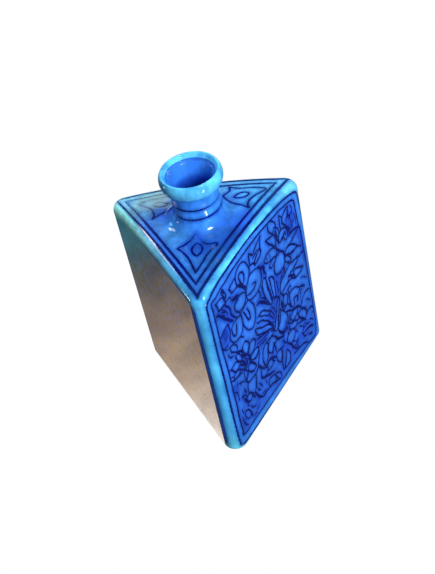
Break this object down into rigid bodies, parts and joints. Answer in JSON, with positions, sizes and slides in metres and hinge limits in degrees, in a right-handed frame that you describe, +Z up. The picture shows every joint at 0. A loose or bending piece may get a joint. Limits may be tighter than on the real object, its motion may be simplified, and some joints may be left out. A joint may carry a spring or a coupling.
{
  "type": "ceramic bottle",
  "caption": "Small three-sided slab-built ceramic bottle with a domed shoulder, round neck and rolled lip, in blue and turquoise glaze with painted flower panels.",
  "frame": {"origin": "on the neck axis, in the plane that the foot stands on", "axes": "+Z up along the neck axis, -Y towards the front corner between the left and right walls"},
  "size_m": [0.1, 0.0884, 0.1497],
  "materials": {
    "foot_glaze": "gloss",
    "panel_glaze": "gloss",
    "inner_glaze": "gloss",
    "shoulder_glaze": "gloss",
    "neck_glaze": "gloss",
    "lip_glaze": "gloss"
  },
  "bodies": {
    "root": {"base_slab": "foot_glaze", "wall_left": "panel_glaze", "wall_right": "panel_glaze", "wall_back": "panel_glaze", "corner_coil_left": "inner_glaze", "corner_coil_front": "inner_glaze", "corner_coil_right": "inner_glaze", "base_coils": "inner_glaze", "shoulder_slab": "shoulder_glaze", "neck_collar": "neck_glaze", "neck_coil": "neck_glaze", "lip_ring": "lip_glaze"}
  },
  "joints": []
}
